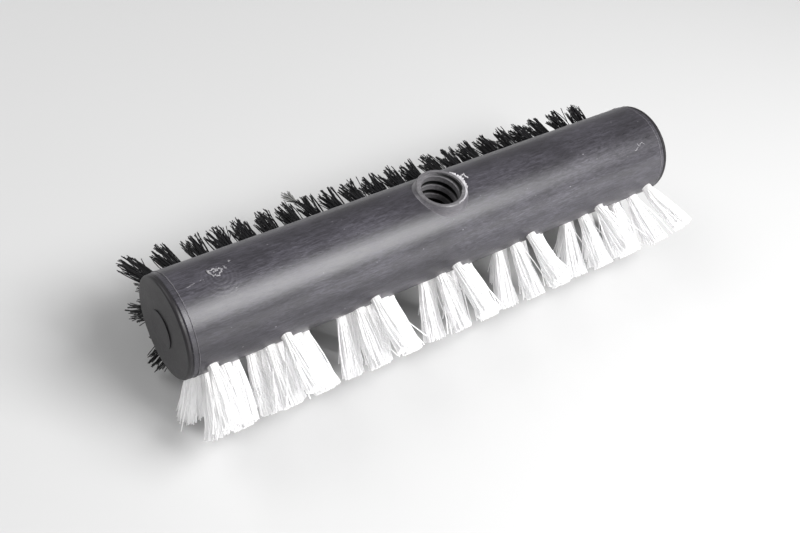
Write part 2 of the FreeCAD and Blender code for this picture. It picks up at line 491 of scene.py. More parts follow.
@dataclass(frozen=True)
class MouldedPlastic:
    """Satin moulded plastic with short brushed streaks along the tube, fine grain, rubbed patches and specks.

    The cells are counts per metre along each axis. The ring highlight, a painted highlight on the ripple
    crests, needs the attribute ring on the mesh. The groove shade is painted shade: a dark colour in the
    grooves of the threaded hole, between two radii from its axis and below a height.
    """

    name: str
    dark: Colour
    light: Colour
    roughness: float
    streaks: float = 1.0
    grain_depth: float = 0.012 * MM
    specks: float = 0.0
    gloss: float = 0.5
    ring_highlight: Colour | None = None
    paints_groove_shade: bool = False
    streak_cells: Stretch = (190, 1500, 1500)
    cloud_cells: Stretch = (24, 60, 60)
    grain_cells: Stretch = (1300, 2600, 2600)
    speck_cells: Stretch = (190, 380, 380)
    speck_patch_cells: Stretch = (110, 110, 110)
    speck_colour: Colour = (0.5, 0.49, 0.52)
    groove_shade_colour: Colour = (0.004, 0.004, 0.004)
    groove_shade_radii: tuple[float, float] = (8.4 * MM, 9.1 * MM)
    groove_shade_heights: tuple[float, float] = (21.5 * MM, 22.0 * MM)
    streak_depth: float = 2.5

    def material(self) -> bpy.types.Material:
        """Build the node material."""
        sheet = NodeSheet(self.name)
        streak = sheet.noise(self.streak_cells, detail=5, rough=0.7, twist=1.2)
        cloud = sheet.noise(self.cloud_cells, detail=3)
        grain = sheet.noise(self.grain_cells, detail=2)
        colour = self.brushed(sheet, streak, cloud)
        if self.specks:
            colour = self.specked(sheet, colour)
        # painted highlight: a lighter tone on the ripple crests of the gate mark
        if self.ring_highlight:
            colour = sheet.blend(sheet.attribute("ring"), colour, self.ring_highlight)
        # painted shade: a near-black colour in the thread grooves, where shadow falls
        if self.paints_groove_shade:
            colour = self.painted_groove_shade(sheet, colour)
        sheet.colour(colour)
        sheet.set(Specular_IOR_Level=self.gloss)
        streak_rub = sheet.remap(streak, 0.3, 0.7, -0.07, 0.07)
        cloud_rub = sheet.remap(cloud, 0.3, 0.7, -0.04, 0.04)
        sheet.roughness(sheet.math("ADD", sheet.math("ADD", streak_rub, cloud_rub), self.roughness))
        sheet.bump(streak, self.grain_depth * self.streak_depth * self.streaks)
        sheet.bump(grain, self.grain_depth)
        return sheet.material

    def brushed(
        self, sheet: NodeSheet, streak: Socket, cloud: Socket
    ) -> Socket:
        """Lighten the plastic in the streaks, and more so in the rubbed patches.

        Args:
            sheet: the material's nodes.
            streak: the streaks.
            cloud: the patches.

        Returns:
            The colour.
        """
        in_streaks = sheet.remap(streak, 0.42, 0.72, 0, self.streaks)
        in_patches = sheet.remap(cloud, 0.3, 0.7, 0.3, 1)
        tone = sheet.math("MULTIPLY", in_streaks, in_patches)
        haze = sheet.remap(cloud, 0.35, 0.75, 0, 0.25)
        return sheet.blend(sheet.math("ADD", tone, haze), self.dark, self.light)

    def specked(self, sheet: NodeSheet, colour: Socket) -> Socket:
        """Add a few small pale specks, here and there."""
        dust = sheet.add("ShaderNodeTexVoronoi")
        dust.inputs["Scale"].default_value = 1.0
        sheet.wire(sheet.place(self.speck_cells), dust.inputs["Vector"])
        spot = sheet.remap(dust.outputs["Distance"], 0.04, 0.1, self.specks, 0)
        rare = sheet.remap(sheet.noise(self.speck_patch_cells, detail=1), 0.56, 0.62, 0, 1)
        return sheet.blend(sheet.math("MULTIPLY", spot, rare), colour, self.speck_colour)

    def painted_groove_shade(self, sheet: NodeSheet, colour: Socket) -> Socket:
        """Paint shade into the grooves of the threaded hole, which stands upright on the origin."""
        radius = sheet.add("ShaderNodeVectorMath", operation="LENGTH")
        sheet.wire(sheet.place((1, 1, 0)), radius.inputs[0])
        height = sheet.add("ShaderNodeSeparateXYZ")
        sheet.wire(sheet.place((1, 1, 1)), height.inputs["Vector"])
        groove = sheet.remap(radius.outputs["Value"], *self.groove_shade_radii, 0, 1)
        below = sheet.remap(height.outputs["Z"], *self.groove_shade_heights, 1, 0)
        return sheet.blend(sheet.math("MULTIPLY", groove, below), colour, self.groove_shade_colour)


@dataclass(frozen=True)
class FilamentFinish:
    """Drawn synthetic filament, a little different from strand to strand and from root to tip."""

    name: str
    root: Colour
    tip: Colour
    shade: Colour
    roughness: float
    gloss: float = 0.5
    glow_depth: float = 0.0
    glow_share: float = 0.4
    painted_glow: float = 0.0
    drawn_cells: Stretch = (900, 900, 900)
    drawn_depth: float = 0.01 * MM

    def material(self) -> bpy.types.Material:
        """Build the node material."""
        sheet = NodeSheet(self.name)
        along, strand = sheet.attribute("along"), sheet.attribute("strand")
        length_colour = sheet.blend(sheet.remap(along, 0.1, 0.55, 0, 1), self.root, self.tip)
        drawn = sheet.noise(self.drawn_cells, detail=2)
        odd_strand = sheet.remap(strand, 0.45, 1, 0, 0.75)
        odd_place = sheet.remap(drawn, 0.45, 0.75, 0, 0.25)
        sheet.colour(sheet.blend(sheet.math("ADD", odd_strand, odd_place), length_colour, self.shade))
        sheet.roughness(sheet.math("ADD", sheet.remap(strand, 0, 1, -0.05, 0.1), self.roughness))
        sheet.set(Specular_IOR_Level=self.gloss)
        if self.glow_depth:
            sheet.set(Subsurface_Weight=self.glow_share, Subsurface_Radius=(1.0, 1.0, 1.0))
            sheet.set(Subsurface_Scale=self.glow_depth)
        # painted light: emission in the tip colour makes the filaments glow and lifts the shade between
        # strands
        sheet.set(Emission_Color=(*self.tip, 1.0), Emission_Strength=self.painted_glow)
        sheet.bump(drawn, self.drawn_depth)
        return sheet.material


@dataclass(frozen=True)
class DrawnWire:
    """Bright flat-drawn steel wire."""

    name: str
    colour: Colour
    darkest: float = 0.7
    drawn_cells: Stretch = (400, 6000, 6000)
    drawn_depth: float = 0.005 * MM

    def material(self) -> bpy.types.Material:
        """Build the node material."""
        sheet = NodeSheet(self.name)
        drawn = sheet.noise(self.drawn_cells, detail=3)
        sheet.colour(sheet.blend(drawn, self.colour, tuple(self.darkest * part for part in self.colour)))
        sheet.roughness(sheet.remap(drawn, 0.3, 0.7, 0.2, 0.42))
        sheet.set(Metallic=1.0)
        sheet.bump(drawn, self.drawn_depth)
        return sheet.material


@dataclass(frozen=True)
class PaleFloor:
    """A plain pale studio floor."""

    name: str = "pale_floor"
    colour: Colour = (0.55, 0.55, 0.55)
    darkest: float = 0.985
    mottle_cells: Stretch = (3, 3, 3)

    def material(self) -> bpy.types.Material:
        """Build the node material."""
        sheet = NodeSheet(self.name)
        mottle = sheet.noise(self.mottle_cells, detail=2)
        sheet.colour(sheet.blend(mottle, self.colour, tuple(self.darkest * part for part in self.colour)))
        sheet.set(Roughness=0.75)
        return sheet.material


TUBE_PLASTIC = MouldedPlastic(
    "tube_plastic", dark=(0.021, 0.0195, 0.0235), light=(0.095, 0.09, 0.11), roughness=0.36,
    grain_depth=0.02 * MM, specks=0.4,
)
# The gate plastic's lighter rings are a painted highlight on the ripple crests.
GATE_PLASTIC = replace(TUBE_PLASTIC, name="gate_plastic", ring_highlight=(0.24, 0.23, 0.26))
CAP_PLASTIC = MouldedPlastic(
    "cap_plastic", dark=(0.016, 0.0145, 0.0165), light=(0.024, 0.0225, 0.025), roughness=0.42, streaks=0.15,
    grain_depth=0.004 * MM, gloss=0.35,
)
# A lighter copy of the tube plastic: painted highlight on the socket's rim and thread crests, with painted
# shade in the thread grooves.
SOCKET_PLASTIC = MouldedPlastic(
    "socket_plastic", dark=(0.1, 0.097, 0.103), light=(0.27, 0.26, 0.27), roughness=0.34,
    grain_depth=0.008 * MM, paints_groove_shade=True,
)
# A lighter copy of the tube plastic, dressing the socket's fillet and the band burrs; on the fillet the
# lighter tone is painted highlight, standing in for the reflection that its slope turns away from.
COLLAR_PLASTIC = MouldedPlastic(
    "collar_plastic", dark=(0.085, 0.081, 0.09), light=(0.23, 0.22, 0.24), roughness=0.36
)
TORN_PLASTIC = MouldedPlastic(
    "torn_plastic", dark=(0.2, 0.195, 0.21), light=(0.4, 0.39, 0.4), roughness=0.35, grain_depth=0.008 * MM
)
FLASH_PLASTIC = replace(
    TORN_PLASTIC, name="flash_plastic", dark=(0.36, 0.35, 0.37), light=(0.75, 0.74, 0.75)
)
# The white filament's emission is painted light.
WHITE_FILAMENT = FilamentFinish(
    "white_filament", root=(0.93, 0.92, 0.91), tip=(0.97, 0.97, 0.97), shade=(0.9, 0.88, 0.91),
    roughness=0.36, glow_depth=1.2 * MM, painted_glow=0.11,
)
BLACK_FILAMENT = FilamentFinish(
    "black_filament", root=(0.005, 0.005, 0.006), tip=(0.008, 0.008, 0.009), shade=(0.018, 0.018, 0.02),
    roughness=0.22, gloss=0.17,
)
GREY_FILAMENT = FilamentFinish(
    "frayed_filament", root=(0.005, 0.005, 0.006), tip=(0.3, 0.3, 0.29), shade=(0.015, 0.015, 0.017),
    roughness=0.4, gloss=0.25,
)
ANCHOR_WIRE = DrawnWire("anchor_wire", (0.62, 0.62, 0.6))


def dress(piece: Piece, finish: bpy.types.Material) -> None:
    """Give a piece one finish in place of all it had."""
    piece.data.materials.clear()
    piece.data.materials.append(finish)


def add_to_head(piece: Piece, finish: bpy.types.Material) -> None:
    """Dress a new piece and fix it to the head."""
    dress(piece, finish)
    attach(piece, BODY)
    log.info("%s: %d faces", piece.name, len(piece.data.polygons))


# ---------------------------------------------------------------- tufts


GOLDEN_TURN = math.pi * (3 - math.sqrt(5))


@dataclass(frozen=True)
class BristleStyle:
    """How the filaments of one side are drawn, set and cut."""

    count: int
    diameter: float
    tip_share: float
    sides: int = 5
    spans: int = 6
    splay: float = 1.0
    splay_scatter: float = 0.35 * MM
    bow: float = 0.5 * MM
    cut_scatter: float = 0.6 * MM
    clumps: int = 9
    clump_pull: float = 0.3
    stray_share: float = 0.05
    stray_bend: float = 3.0 * MM
    stray_cut: float = 2.0
    flare: float = 1.15
    sunk: float = 3.0 * MM

    def blank(self) -> Piece:
        """Model the straight filament that every filament of a side is copied from."""
        return rod_blank("filament_blank", self.sides, self.diameter / 2, self.spans, self.tip_share)


@dataclass
class BristleSide:
    """All the tufts of one side, a piece for each row."""

    side: Side
    style: BristleStyle
    finish: FilamentFinish
    sizes: HeadSizes

    def build(self) -> None:
        """Model every row of the side and let it stand for its CAD node."""
        material = self.finish.material()
        for row in range(1, ROW_COUNT + 1):
            node = self.side.row_node(row)
            places = read_tufts(node, self.sizes.radius)
            rng = np.random.default_rng([SEED, row, len(self.side.value), ord(self.side.value[0])])
            piece = self.row_piece(f"{self.side.value}_bristles_row_{row}", places, rng)
            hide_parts(node)
            add_to_head(piece, material)

    def row_piece(self, name: str, places: list[TuftPlace], rng: np.random.Generator) -> Piece:
        """Fan copies of one filament out of every hole of a row.

        Args:
            name: the piece's name.
            places: where the tufts stand.
            rng: the source of the small differences between filaments.

        Returns:
            The row as one mesh, with the attributes along and strand at its vertices.
        """
        blank = self.style.blank()
        model, _ = mesh_arrays(blank)
        placed, strands = [], []
        for place in places:
            placed.extend(self.tuft(place, model, rng))
            strands.append(rng.random(self.style.count))
        piece = copies_as_one(name, blank, placed)
        count = len(places) * self.style.count
        write_attribute(piece, "along", np.tile(model[:, 2], count))
        write_attribute(piece, "strand", np.repeat(np.concatenate(strands), len(model)))
        smooth(piece)
        return piece

    def tuft(self, place: TuftPlace, model: np.ndarray, rng: np.random.Generator) -> list[np.ndarray]:
        """The vertices of each filament of one tuft.

        Args:
            place: where the tuft stands.
            model: the vertices of the straight filament.
            rng: the source of the small differences.

        Returns:
            One array of vertices for each filament.
        """
        style = self.style
        outward = np.array(place.outward)
        along_tube = np.array(X_AXIS)
        round_tube = np.cross(outward, along_tube)
        # A sunflower pattern fills the hole evenly; the same pattern, spread wider, places the tips.
        number = np.arange(style.count) + 0.5
        reach = np.sqrt(number / style.count)
        turn = number * GOLDEN_TURN + rng.random() * math.tau
        disc = np.stack([reach * np.cos(turn), reach * np.sin(turn)], axis=1)
        root = disc * (place.root_radius - style.diameter / 2)
        tip = disc * (place.tip_radius * style.splay - style.diameter / 2)
        gather = tip[rng.choice(style.count, style.clumps, replace=False)]
        nearest = gather[np.argmin(np.linalg.norm(tip[:, None] - gather[None], axis=2), axis=1)]
        tip += (nearest - tip) * style.clump_pull
        tip += rng.normal(0, style.splay_scatter, tip.shape)
        tip[:, 0] += place.lean
        stray = (rng.random(style.count) < style.stray_share)[:, None]
        tip += stray * rng.normal(0, style.stray_bend, tip.shape)
        bow = rng.normal(0, style.bow, tip.shape)
        length = place.trim - rng.random(style.count) * style.cut_scatter
        length -= stray[:, 0] * rng.random(style.count) * style.stray_cut * style.cut_scatter
        height = -style.sunk + model[:, 2] * (length[:, None] + style.sunk)
        share = np.clip(height / length[:, None], 0, 1)
        rise = (share ** style.flare)[:, :, None]
        swing = np.sin(share * math.pi)[:, :, None]
        offset = root[:, None, :] * (1 - rise) + tip[:, None, :] * rise + bow[:, None, :] * swing
        offset = offset + model[None, :, :2]
        points = (
            np.array(place.root)
            + offset[:, :, :1] * along_tube
            + offset[:, :, 1:] * round_tube
            + height[:, :, None] * outward
        )
        return list(points)


@dataclass
class FrayedClump:
    """A clump of one black tuft that escaped the trimming: a thin stem that opens into a frayed grey end.

    The shifts along the tube and the spreads round the clump's line are in millimetres, one at each station,
    which is a share of the clump's length.
    """

    sizes: HeadSizes
    near_x: float = -37.8 * MM
    style: BristleStyle = BristleStyle(count=30, diameter=0.38 * MM, tip_share=0.7, spans=10)
    stations: tuple[float, ...] = (0.0, 0.35, 0.65, 0.82, 0.93, 1.0)
    shifts: tuple[float, ...] = (0.0, -0.8, -2.0, -2.9, -3.8, -4.4)
    spreads: tuple[float, ...] = (0.7, 0.6, 0.4, 0.3, 1.8, 2.5)
    grey_stations: tuple[float, float] = (0.825, 0.95)
    sway: float = 0.25 * MM
    reach: float = 28.5 * MM
    reach_scatter: float = 0.1

    def build(self) -> None:
        """Bend copies of one filament along the clump's line."""
        places = read_tufts(Side.BLACK.row_node(1), self.sizes.radius)
        place = min(places, key=lambda each: abs(each.root.x - self.near_x))
        blank = self.style.blank()
        model, _ = mesh_arrays(blank)
        rng = np.random.default_rng([SEED, 21])
        placed = [self.strand(place, model, rng) for _ in range(self.style.count)]
        piece = copies_as_one("frayed_clump", blank, placed)
        grey = np.interp(model[:, 2], self.grey_stations, (0, 1))
        write_attribute(piece, "along", np.tile(grey, self.style.count))
        write_attribute(piece, "strand", np.repeat(rng.random(self.style.count), len(model)))
        smooth(piece)
        add_to_head(piece, GREY_FILAMENT.material())

    def strand(self, place: TuftPlace, model: np.ndarray, rng: np.random.Generator) -> np.ndarray:
        """Bend one filament of the clump.

        Args:
            place: where its tuft stands.
            model: the vertices of the straight filament.
            rng: the source of the small differences.

        Returns:
            The filament's vertices.
        """
        outward, along_tube = np.array(place.outward), np.array(X_AXIS)
        round_tube = np.cross(outward, along_tube)
        turn, off = rng.random() * math.tau, math.sqrt(rng.random())
        share = model[:, 2]
        spread = np.interp(share, self.stations, self.spreads) * off * MM
        sway = np.sin(share * math.tau + turn) * share * self.sway
        shift = np.interp(share, self.stations, self.shifts) * MM
        x = shift + spread * math.cos(turn) + sway + model[:, 0]
        y = spread * math.sin(turn) + sway + model[:, 1]
        height = share * self.reach * (1 - self.reach_scatter + self.reach_scatter * rng.random())
        across = x[:, None] * along_tube + y[:, None] * round_tube
        return np.array(place.root) + across + height[:, None] * outward


@dataclass
class HoleLips:
    """The small torn lips that drilling left round the tuft holes of one side."""

    side: Side
    sizes: HeadSizes
    width: float = 0.35 * MM
    height: float = 0.12 * MM
    torn_share: float = 0.3
    torn_height: float = 0.45 * MM
    torn_spread: float = 0.3
    wobble: float = 0.05
    girth: float = 0.1

    def build(self) -> None:
        """Model one lip and copy it to each hole, each a little different."""
        start_clean()
        bpy.ops.mesh.primitive_torus_add(
            major_segments=16, minor_segments=4, major_radius=1.0, minor_radius=self.girth, location=(0, 0, 0)
        )
        model = settle(named(bpy.context.object, "lip_blank"))
        points, _ = mesh_arrays(model)
        rng = np.random.default_rng([SEED, 77, ord(self.side.value[0])])
        placed = []
        for row in range(1, ROW_COUNT + 1):
            for place in read_tufts(self.side.row_node(row), self.sizes.radius):
                placed.append(self.lip(place, points, rng))
        piece = copies_as_one(f"{self.side.value}_hole_lips", model, placed)
        smooth(piece)
        add_to_head(piece, TORN_PLASTIC.material())

    def lip(self, place: TuftPlace, points: np.ndarray, rng: np.random.Generator) -> np.ndarray:
        """Bend one lip onto the skin round its hole and tear it up in one place.

        Args:
            place: where the hole is.
            points: the vertices of the flat ring.
            rng: the source of the small differences.

        Returns:
            The lip's vertices.
        """
        ring = place.root_radius + self.width / 2
        angle = np.arctan2(points[:, 1], points[:, 0])
        across = (np.hypot(points[:, 0], points[:, 1]) - 1.0) / self.girth
        wobble = 1 + self.wobble * np.sin(3 * angle + rng.random() * math.tau)
        radius = ring * wobble + across * self.width / 2
        flat = np.stack([np.cos(angle), np.sin(angle)], axis=1) * radius[:, None]
        tear = np.exp(-((np.sin((angle - rng.random() * math.tau) / 2) / self.torn_spread) ** 2))
        torn = self.torn_height * rng.random() * (rng.random() < self.torn_share)
        lift = self.height * (0.4 + rng.random() * 0.6) + torn * tear * (0.6 + 0.4 * np.sin(9 * angle))
        x = place.root.x + flat[:, 0]
        turn = math.atan2(place.outward.y, place.outward.z) - flat[:, 1] / self.sizes.radius
        out = self.sizes.radius + np.clip(points[:, 2] / self.girth, -0.5, 1) * lift
        return np.stack([x, out * np.sin(turn), out * np.cos(turn)], axis=1)


# ---------------------------------------------------------------- tube, caps and socket


@dataclass(frozen=True)
class TornThread:
    """A thin torn thread of plastic, in millimetres.

    The route's points are (place along the tube, distance round from its top); lift is above the skin.
    """

    route: tuple[tuple[float, float], ...]
    thickness: float = 0.45
    lift: float = 0.0


class TornWork:
    """Lays copies of one short rod, bent and roughened, along routes on the head."""

    SPANS = 16
    END_SHARE = 0.3
    SWAY = 0.35
    FLATNESS = 0.7

    def __init__(self, seed: int) -> None:
        """Model the rod that every thread is copied from."""
        self.rng = np.random.default_rng([SEED, seed])
        self.model = rod_blank("torn_blank", 6, 1.0, self.SPANS, self.END_SHARE, both=True)
        self.points, _ = mesh_arrays(self.model)

    def lay(self, route: np.ndarray, outward: np.ndarray, thickness: float) -> np.ndarray:
        """Bend the rod along a route.

        Args:
            route: the points that it passes through, in metres.
            outward: the direction away from the surface at each point.
            thickness: its mean thickness, in metres.

        Returns:
            The rod's vertices.
        """
        middle, up = self.along(route), self.along(outward)
        side = np.cross(self.along(np.gradient(route, axis=0)), up)
        side /= np.linalg.norm(side, axis=1)[:, None]
        ring_highlight = np.round(self.points[:, 2] * self.SPANS).astype(int)
        girth = (thickness / 2 * (0.45 + 1.1 * self.rng.random(self.SPANS + 1)))[ring_highlight][:, None]
        sway = (thickness * self.rng.normal(0, self.SWAY, self.SPANS + 1))[ring_highlight][:, None]
        width, depth = self.points[:, :1] * girth + sway, self.points[:, 1:2] * girth * self.FLATNESS
        return middle + side * width + up * depth

    def along(self, values: np.ndarray) -> np.ndarray:
        """Spread values that are given at a route's points over the rod's vertices."""
        station = self.points[:, 2] * (len(values) - 1)
        number = np.arange(len(values))
        return np.stack([np.interp(station, number, values[:, axis]) for axis in range(3)], axis=1)

    def on_skin(self, thread: TornThread, sizes: HeadSizes) -> np.ndarray:
        """Lay one thread on the tube's skin.

        Args:
            thread: its route and thickness.
            sizes: the head's sizes.

        Returns:
            The thread's vertices.
        """
        route = np.array([sizes.on_skin(x * MM, across * MM) for x, across in thread.route])
        outward = route * (0, 1, 1)
        outward /= np.linalg.norm(outward, axis=1)[:, None]
        return self.lay(route + outward * thread.lift * MM, outward, thread.thickness * MM)

    def piece(
        self, name: str, placed: list[np.ndarray], slot: str, finish: MouldedPlastic = TORN_PLASTIC
    ) -> Piece:
        """Join the laid threads into one dressed piece.

        Args:
            name: the piece's name.
            placed: the vertices of each thread.
            slot: not used.
            finish: its plastic.

        Returns:
            The piece.
        """
        piece = copies_as_one(name, self.model, placed)
        smooth(piece)
        add_to_head(piece, finish.material())
        return piece


@dataclass
class TubeBody:
    """The moulded tube: its finish, the mould's gate mark, its band burrs and its scuffs."""

    sizes: HeadSizes
    band_width: float = 2.3 * MM
    burr_size: float = 0.16 * MM
    burr_steps: int = 144
    burr_rag: float = 0.008
    gate: tuple[float, float] = (-102.2 * MM, -1.6 * MM)
    gate_radius: float = 9.5 * MM
    gate_rings: int = 32
    ripple_count: int = 6
    ripple_highlight: float = 0.14
    ripple_height: float = 0.11 * MM
    pip_height: float = 0.15 * MM
    pip_radius: float = 1.6 * MM
    pip_shift: tuple[float, float] = (-0.4 * MM, 1.9 * MM)
    skin_thickness: float = 0.3 * MM
    skin_lift: float = 0.02 * MM
    gate_threads: tuple[TornThread, ...] = (
        TornThread(
            ((-105.3, 2.2), (-104.5, -0.3), (-103.4, -1.2), (-102.3, -1.3), (-100.9, -0.2), (-100.1, 1.4)),
            0.7, 0.3,
        ),
        TornThread(((-100.1, 1.4), (-101.2, 1.8), (-102.4, 2.1), (-104.1, 1.9), (-105.3, 2.2)), 0.6, 0.3),
        TornThread(((-103.6, 0.6), (-102.6, 1.1), (-101.4, 0.9)), 0.8, 0.25),
        TornThread(((-100.1, 1.7), (-99.8, 1.3), (-99.7, 0.2)), 0.5),
        TornThread(((-98.4, 2.3), (-98.5, 1.2), (-97.9, 0.7)), 0.55),
        TornThread(((-95.5, 3.8), (-95.7, 3.2)), 0.5),
    )
    scuffs: tuple[TornThread, ...] = (
        TornThread(((-115.0, -1.6), (-113.7, -1.3), (-111.6, -0.8)), 0.14),
        TornThread(((-109.6, -0.9), (-108.6, -0.1), (-108.2, -0.5), (-108.0, -2.0)), 0.12),
        TornThread(((103.8, -14.1), (105.1, -13.4), (106.2, -12.9)), 0.32),
        TornThread(
            ((106.2, -11.2), (106.6, -12.1), (107.6, -12.7), (107.8, -11.6), (109.4, -11.4), (110.5, -12.7)),
            0.32,
        ),
    )

    def build(self) -> None:
        """Dress the tube and add the gate mark, the band burrs and the scuffs."""
        dress(frame["nodes"]["tube_body"], TUBE_PLASTIC.material())
        self.gate_mark()
        self.band_burrs()
        torn = TornWork(3)
        threads = [torn.on_skin(thread, self.sizes) for thread in self.gate_threads + self.scuffs]
        torn.piece("torn_marks", threads, "tube")

    def band_burrs(self) -> None:
        """The fine turned-up edge of the band at each end of the tube."""
        start_clean()
        bpy.ops.mesh.primitive_torus_add(
            major_segments=self.burr_steps, minor_segments=6, major_radius=self.sizes.radius,
            minor_radius=self.burr_size, rotation=(0, math.pi / 2, 0),
        )
        model = settle(named(bpy.context.object, "burr_blank"))
        points, _ = mesh_arrays(model)
        turn = np.arctan2(points[:, 1], points[:, 2])
        stations = np.linspace(-math.pi, math.pi, self.burr_steps + 1)
        rng = np.random.default_rng([SEED, 61])
        placed = []
        for side in (-1, 1):
            heights = np.append(rng.random(self.burr_steps), 0.5)
            rag = np.interp(turn, stations, heights, period=math.tau)
            sideways = (rag - 0.5) * self.burr_size
            outwards = points[:, 1:].T * (rag - 0.7) * self.burr_rag
            ring = points + np.stack([sideways, *outwards], axis=1)
            ring[:, 0] += side * (self.sizes.tube_end - self.band_width)
            placed.append(ring)
        piece = copies_as_one("band_burrs", model, placed)
        smooth(piece)
        add_to_head(piece, COLLAR_PLASTIC.material())

    def gate_mark(self) -> None:
        """A broken-off pip with flow ripples beside it: a thin disc, draped over the skin."""
        start_clean()
        bpy.ops.mesh.primitive_circle_add(vertices=64, radius=self.gate_radius, fill_type="NOTHING")
        mark = settle(named(bpy.context.object, "gate_mark"))
        bpy.ops.object.mode_set(mode="EDIT")
        bpy.ops.mesh.select_all(action="SELECT")
        for ring in range(self.gate_rings, 1, -1):
            share = (ring - 1) / ring
            bpy.ops.mesh.extrude_edges_move()
            bpy.ops.transform.resize(value=(share, share, 1))
        bpy.ops.mesh.edge_face_add()
        bpy.ops.object.mode_set(mode="OBJECT")
        for vert in mark.data.vertices:
            vert.co = self.rippled(vert.co.x, vert.co.y)
        bpy.ops.object.mode_set(mode="EDIT")
        bpy.ops.mesh.select_all(action="SELECT")
        bpy.ops.mesh.normals_make_consistent(inside=False)
        bpy.ops.object.mode_set(mode="OBJECT")
        if mark.data.polygons[0].normal.z < 0:
            mark.data.flip_normals()
        skin = mark.modifiers.new("skin", "SOLIDIFY")
        skin.thickness = self.skin_thickness
        skin.offset = -1
        bpy.ops.object.modifier_apply(modifier=skin.name)
        bpy.ops.object.shade_smooth()
        points, _ = mesh_arrays(mark)
        centre = np.array(self.sizes.on_skin(*self.gate))
        # painted highlight: the ring attribute lightens the plastic on each ripple crest, fading outwards
        reach = np.clip(np.linalg.norm(points - centre, axis=1) / self.gate_radius, 0, 1)
        wave = 0.5 + 0.5 * np.cos(reach * self.ripple_count * math.tau)
        write_attribute(mark, "ring", self.ripple_highlight * wave ** 2 * (1 - reach))
        add_to_head(mark, GATE_PLASTIC.material())

    def rippled(self, x: float, across: float) -> Vector:
        """Find the place of a point of the gate mark, with its ripple and its pip.

        Args:
            x: how far along the tube it is from the mark's centre.
            across: how far round the tube it is.

        Returns:
            The place on the head.
        """
        reach = min(1.0, math.hypot(x, across) / self.gate_radius)
        wave = 0.5 + 0.5 * math.cos(reach * self.ripple_count * math.tau)
        ripple = self.ripple_height * wave * (1 - reach)
        from_pip = math.hypot(x - self.pip_shift[0], across - self.pip_shift[1])
        pip = self.pip_height * math.exp(-((from_pip / self.pip_radius) ** 2))
        # The rim dips under the skin, so that no edge shows.
        edge = self.skin_lift * (1 - 4 * reach ** 6)
        skin = self.sizes.on_skin(self.gate[0] + x, self.gate[1] + across)
        return skin + Vector((0, skin.y, skin.z)).normalized() * (ripple + pip + edge)


@dataclass
class EndCaps:
    """The two moulded plugs."""

    def build(self) -> None:
        """Dress both caps."""
        material = CAP_PLASTIC.material()
        for side in ("left", "right"):
            dress(frame["nodes"][f"end_cap_{side}"], material)


